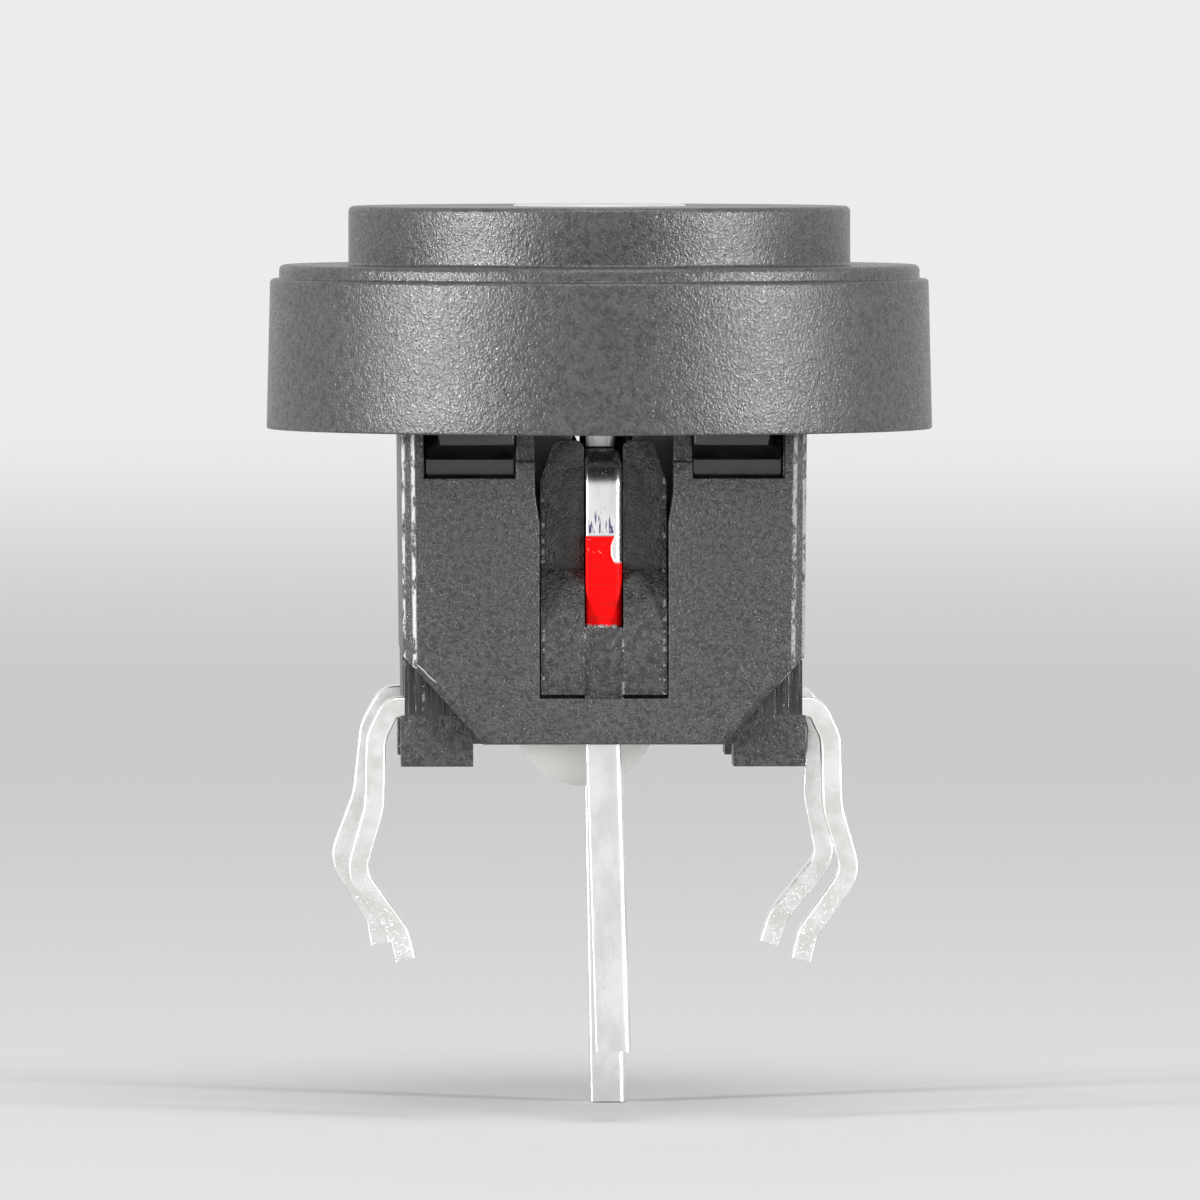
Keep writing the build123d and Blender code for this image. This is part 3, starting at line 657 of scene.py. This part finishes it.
def makeTerminal(place, side, material):
    # one strip with a leg at each end, swept along its middle line; between the legs it jogs inward
    z, lean, name = terminal["middle"], terminal["lean"][place], "terminal_" + place
    x = terminal["bodyHalf"] + np.array(terminal["offsets"])
    drop = np.array(terminal["drops"])
    y, inner = side * terminal["legY"], side * terminal["stripY"]
    legs = [np.column_stack([end * x - lean * drop, np.full(len(x), y), z - drop]) for end in (-1, 1)]
    jogOuter, jogInner = terminal["jog"]
    jogs = [np.array([(end * jogOuter, y, z), (end * jogInner, inner, z)]) for end in (-1, 1)]
    corners = np.concatenate([legs[0][::-1], jogs[0], jogs[1][::-1], legs[1]])
    bends = terminal["bends"][::-1] + [terminal["jogBend"]] * 2
    path = evenly(roundedLine(corners, bends + bends[::-1]), terminal["step"]) * mm
    heading = unit(np.gradient(path, axis=0))
    # the width lies along Y in the legs, and square to the strip where it is flat in the base
    flat = (np.abs(heading[:, 2:]) < 1e-4) & (np.abs(path[:, :1]) < terminal["flatHalf"] * mm)
    across = unit(np.stack([-heading[:, 1], heading[:, 0], 0 * heading[:, 0]], axis=1))
    section = roundedBar(terminal["width"], terminal["thickness"], terminal["edge"]) * mm
    shell = Shell().sweep(path, section, np.where(flat, across, [0.0, 1.0, 0.0]))
    if side < 0:
        tongue = terminal["tongue"]
        line = np.array([(0, tongue["from"], z), (0, tongue["to"], z)]) * mm
        shell.sweep(line, roundedBar(tongue["width"], terminal["thickness"], tongue["edge"]) * mm, (1, 0, 0))
    return piece(name + "_finished", shell, "switch_body", material, [name])


strip = tinnedStrip()
makeTerminal("front", -1, strip)
makeTerminal("rear", 1, strip)
print("terminals made")


lead = {
    "size": 0.54, "edges": (0.045, 0.11), "run": 4.44, "root": 1.07, "y": 2.52, "bend": 0.30, "leanFrom": 0.20,
    "kink": -0.35, "leanBends": [1.0, 2.0], "top": 5.6, "steps": 10, "step": 0.15,
    "headLow": 5.50, "headHigh": 5.90, "headHalf": 0.35, "headEdge": 0.03,
    "front": {"tip": -4.24, "kinkLean": 0.02, "lean": 0.14, "head": (-1.34, -0.74)},
    "rear": {"tip": -5.30, "kinkLean": 0.10, "lean": 0.19, "head": (-0.25, 1.34)},
}


def makeLead(place, side, material):
    # down from the lamp, out, and down the body's face to a tip that leans a little
    own, y = lead[place], side * lead["y"]
    corners = [
        (0, side * lead["root"], lead["top"]), (0, side * lead["root"], lead["run"]), (0, y, lead["run"]),
        (0, y, lead["leanFrom"]), (own["kinkLean"], y, lead["kink"]), (own["lean"], y, own["tip"]),
    ]
    bends = [lead["bend"]] * 2 + lead["leanBends"]
    path = evenly(roundedLine(corners, bends, lead["steps"]), lead["step"]) * mm
    # the punch left soft edges on one side of the strip and sharper ones on the other
    crisp, soft = lead["edges"]
    section = roundedBar(lead["size"], lead["size"], [soft, crisp, crisp, soft]) * mm
    shell = Shell().sweep(path, section, (1, 0, 0))
    low, high = own["head"]
    head = np.array([(-lead["headHalf"], low, lead["headLow"]), (lead["headHalf"], high, lead["headHigh"])]) * mm
    shell.block(*head, lead["headEdge"] * mm)
    name = "led_lead_" + place
    return piece(name + "_finished", shell, "switch_body", material, [name])


makeLead("front", -1, tinnedLead(True))
makeLead("rear", 1, tinnedLead(False))
print("leads made")


def makeRound(name, corners, radii, body, material, steps=12, step=0.3, turns=128):
    # a profile of (r, z) with rounded corners, turned round the switch's axis
    profile = evenly(roundedLine(corners, radii, steps), step) * mm
    return piece(name + "_finished", Shell().lathe(profile, turns), body, material, [name])


window = {
    "neck": 1.30, "flange": 2.03, "neckLength": 0.53, "length": 0.85, "rounds": [0.05, 0.02, 0.04, 0.04],
    "colour": (0.82, 0.82, 0.80), "roughness": 0.34, "glowDepth": 0.6,
}


def makeWindow(material):
    # a flat round face, a neck, and a flange under the cap's roof
    top = boxes["light_window"][1][2] / mm
    neck, flange = window["neck"], window["flange"]
    shoulder, bottom = top - window["neckLength"], top - window["length"]
    corners = [(0, top), (neck, top), (neck, shoulder), (flange, shoulder), (flange, bottom), (0, bottom)]
    makeRound("light_window", corners, window["rounds"], "button", material)


lamp = {"body": 1.52, "flange": 1.64, "flangeHeight": 0.25, "rounds": [1.51, 0.03, 0.03, 0.03]}


def makeLamp(material):
    # a domed body on a thin flange
    low, high = boxes["led_lens"][0][2] / mm, boxes["led_lens"][1][2] / mm
    body, flange, step = lamp["body"], lamp["flange"], low + lamp["flangeHeight"]
    corners = [(0, high), (body, high), (body, step), (flange, step), (flange, low), (0, low)]
    makeRound("led_lens", corners, lamp["rounds"], "switch_body", material)


makeWindow(milkyPlastic("milkyWindow", window["colour"], window["roughness"], window["glowDepth"]))
makeLamp(clearEpoxy())

boss = {
    "x": -0.20, "y": 1.10, "radius": 1.10, "centre": 0.65, "floor": 0.34, "spigot": (0.70, 0.30), "steps": 24,
    "turns": 96, "colour": (0.70, 0.70, 0.68), "roughness": 0.45, "glowDepth": 0.5,
}


def makeBoss(material):
    # the lower part of a ball: (radius * sin a, centre - radius * cos a), closed by a spigot
    widest = np.arccos((boss["centre"] - boss["floor"]) / boss["radius"])
    a = np.linspace(0, widest, boss["steps"])
    ball = np.stack([boss["radius"] * np.sin(a), boss["centre"] - boss["radius"] * np.cos(a)], axis=1)
    r, length = boss["spigot"]
    spigot = np.array([(r, boss["floor"]), (r, boss["floor"] + length), (0, boss["floor"] + length)])
    profile = np.concatenate([ball, spigot]) * mm
    shell = Shell().lathe(profile, boss["turns"], boss["x"] * mm, boss["y"] * mm)
    return piece("locating_boss_finished", shell, "switch_body", material, ["locating_boss"])


makeBoss(milkyPlastic("naturalNylon", boss["colour"], boss["roughness"], boss["glowDepth"]))


def finish(node, slot, material):
    # a CAD piece that keeps its own shape takes its material here
    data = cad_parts[node].data
    data.materials.clear()
    data.materials.append(material)


# painted shade: the plunger is coloured mid grey, darker than its pale natural plastic, as if seen in the shade inside
# the housing
plunger = {"colour": (0.42, 0.42, 0.41), "roughness": 0.36, "glowDepth": 0.5, "edge": 0.02}
shadedPlungerPlastic = milkyPlastic("shadedPlungerPlastic", plunger["colour"], plunger["roughness"], plunger["glowDepth"])
softened("plunger", "plunger_finished", "button", shadedPlungerPlastic, plunger["edge"] * mm)
finish("contact_dome", "spring_steel", springSteel())
finish("led_chip", "led_die", ledDie())
finish("led_bond_wire", "gold_wire", goldWire())
print("inner pieces made")


studio = {
    "floor": 0.90, "fadeStart": 10.0, "fadeEnd": 450.0, "backdrop": 0.84, "ambient": 0.26, "reach": 3.0, "gap": 0.00002,
    # azimuth from the front, height above the horizon, width, height, strength
    "lamps": [
        ("leftSoftbox", -61, 9, 0.050, 0.10, 0.90),
        ("rightSoftbox", 58, 9, 0.045, 0.10, 0.72),
        ("topSoftbox", 8, 64, 0.20, 0.20, 0.36),
    ],
    "lampDistance": 0.32, "lampAim": 0.0025,
}


def straightSight(tree):
    # 1 for what the camera sees directly, in a reflection or through something clear
    path = tree.node("ShaderNodeLightPath", {}, {}, "Is Camera Ray")
    return path.orMore(path.output("Is Glossy Ray")).orMore(path.output("Is Transmission Ray"))


def makeStage():
    # a wide pale floor that melts into the pale background, and shows nothing from below
    u = np.linspace(0, 2 * np.pi, 96, endpoint=False)
    rim = np.stack([studio["reach"] * np.cos(u), studio["reach"] * np.sin(u), cadLow[2] - studio["gap"] + 0 * u], 1)
    mesh = bpy.data.meshes.new("floor")
    mesh.from_pydata(rim, [], [list(range(len(rim)))])
    floor = bpy.data.objects.new("floor", mesh)
    bpy.context.collection.objects.link(floor)
    t = Finish("floorPaper", Base_Color=grey(studio["floor"]), Roughness=0.7, Specular_IOR_Level=0.2)
    far = t.ramp((t.x * t.x + t.y * t.y) ** 0.5, studio["fadeStart"], studio["fadeEnd"])
    glow = t.node("ShaderNodeEmission", {}, {"Color": grey(studio["backdrop"])})
    paper = Wire(t, t.shader.outputs[0])
    melted = t.node("ShaderNodeMixShader", {}, {0: far * straightSight(t), 1: paper, 2: glow})
    clear = t.node("ShaderNodeBsdfTransparent", {}, {})
    below = t.node("ShaderNodeNewGeometry", {}, {}, "Backfacing")
    oneSided = t.node("ShaderNodeMixShader", {}, {0: below, 1: melted, 2: clear})
    t.connect(t.nodes["Material Output"], {"Surface": oneSided})
    mesh.materials.append(t.material)


def pointAt(obj, place, aim):
    obj.location = Vector(place)
    obj.rotation_mode = "QUATERNION"
    obj.rotation_quaternion = (Vector(aim) - Vector(place)).to_track_quat("-Z", "Y")


def makeLights():
    # an even pale room, and softboxes at (sin a cos e, -cos a cos e, sin e) times the distance
    world = bpy.data.worlds.new("studio")
    bpy.context.scene.world = world
    t = Tree(world)
    strength = t.ramp(straightSight(t), 0.0, 1.0, studio["ambient"], studio["backdrop"])
    t.connect(t.nodes["Background"], {"Color": grey(1.0), "Strength": strength})
    aim = np.array([0, 0, studio["lampAim"]])
    for name, azimuth, height, width, tall, power in studio["lamps"]:
        a, e = np.radians(azimuth), np.radians(height)
        towards = np.array([np.sin(a) * np.cos(e), -np.cos(a) * np.cos(e), np.sin(e)])
        light = bpy.data.lights.new(name, "AREA")
        light.shape, light.size, light.size_y, light.energy = "RECTANGLE", width, tall, power
        obj = bpy.data.objects.new(name, light)
        pointAt(obj, aim + towards * studio["lampDistance"], aim)
        bpy.context.collection.objects.link(obj)


camera = {
    "distance": 0.250, "field": 18.03 * mm, "side": -1.4, "rise": 8.4 * mm, "aim": (0.01 * mm, 0.0, 2.395 * mm),
    "sensor": 36.0, "clip": (0.01, 10),
}


def makeCamera():
    # its lens shows the field's width at the camera's distance
    data = bpy.data.cameras.new("camera")
    data.sensor_width = camera["sensor"]
    data.lens = camera["sensor"] * camera["distance"] / camera["field"]
    data.clip_start, data.clip_end = camera["clip"]
    obj = bpy.data.objects.new("camera", data)
    a, aim = np.radians(camera["side"]), np.array(camera["aim"])
    pointAt(obj, aim + [np.sin(a) * camera["distance"], -np.cos(a) * camera["distance"], camera["rise"]], aim)
    bpy.context.collection.objects.link(obj)
    bpy.context.scene.camera = obj


makeStage()
makeLights()
makeCamera()
bpy.context.scene.view_settings.view_transform = "Standard"
print("studio made")
